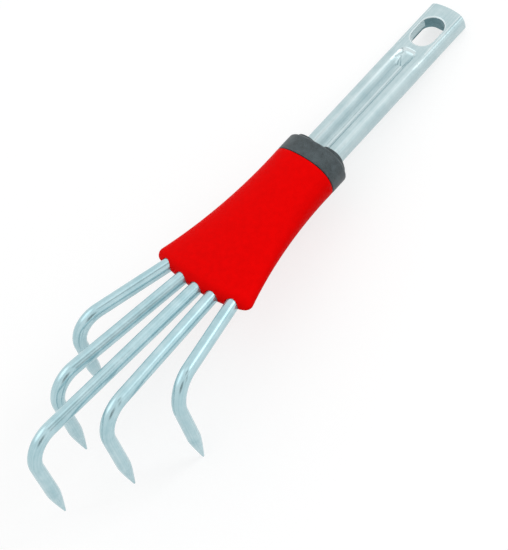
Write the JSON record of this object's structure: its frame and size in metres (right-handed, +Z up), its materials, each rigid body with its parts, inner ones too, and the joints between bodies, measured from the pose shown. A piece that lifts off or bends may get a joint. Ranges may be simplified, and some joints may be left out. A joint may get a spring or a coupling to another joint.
{
  "type": "garden cultivator",
  "caption": "Hand cultivator head with hooked, pointed steel tines fanned out from a red plastic hood, a grey collar and a hollow zinc-plated tongue that plugs into a long handle",
  "frame": {"origin": "centre of the bounding box in X and Y, on the plane the tool lies on", "axes": "+X to the tool's right, +Y from the tines to the tongue's free end, +Z up as the tool lies on its two outer points and the tongue's end"},
  "size_m": [0.0848, 0.3626, 0.0848],
  "materials": {
    "zinc_plated_steel": "bright zinc plating on bent and pressed steel, soft sheen",
    "red_moulded_plastic": "smooth moulded, semi-gloss",
    "grey_moulded_plastic": "fine satin moulded texture"
  },
  "bodies": {
    "root": {"tongue": "zinc_plated_steel", "hood": "red_moulded_plastic", "collar": "grey_moulded_plastic", "tine_1": "zinc_plated_steel", "tine_2": "zinc_plated_steel", "tine_3": "zinc_plated_steel", "tine_4": "zinc_plated_steel", "tine_5": "zinc_plated_steel", "weld_1": "zinc_plated_steel", "weld_2": "zinc_plated_steel", "weld_3": "zinc_plated_steel", "weld_4": "zinc_plated_steel", "weld_5": "zinc_plated_steel"}
  },
  "joints": []
}
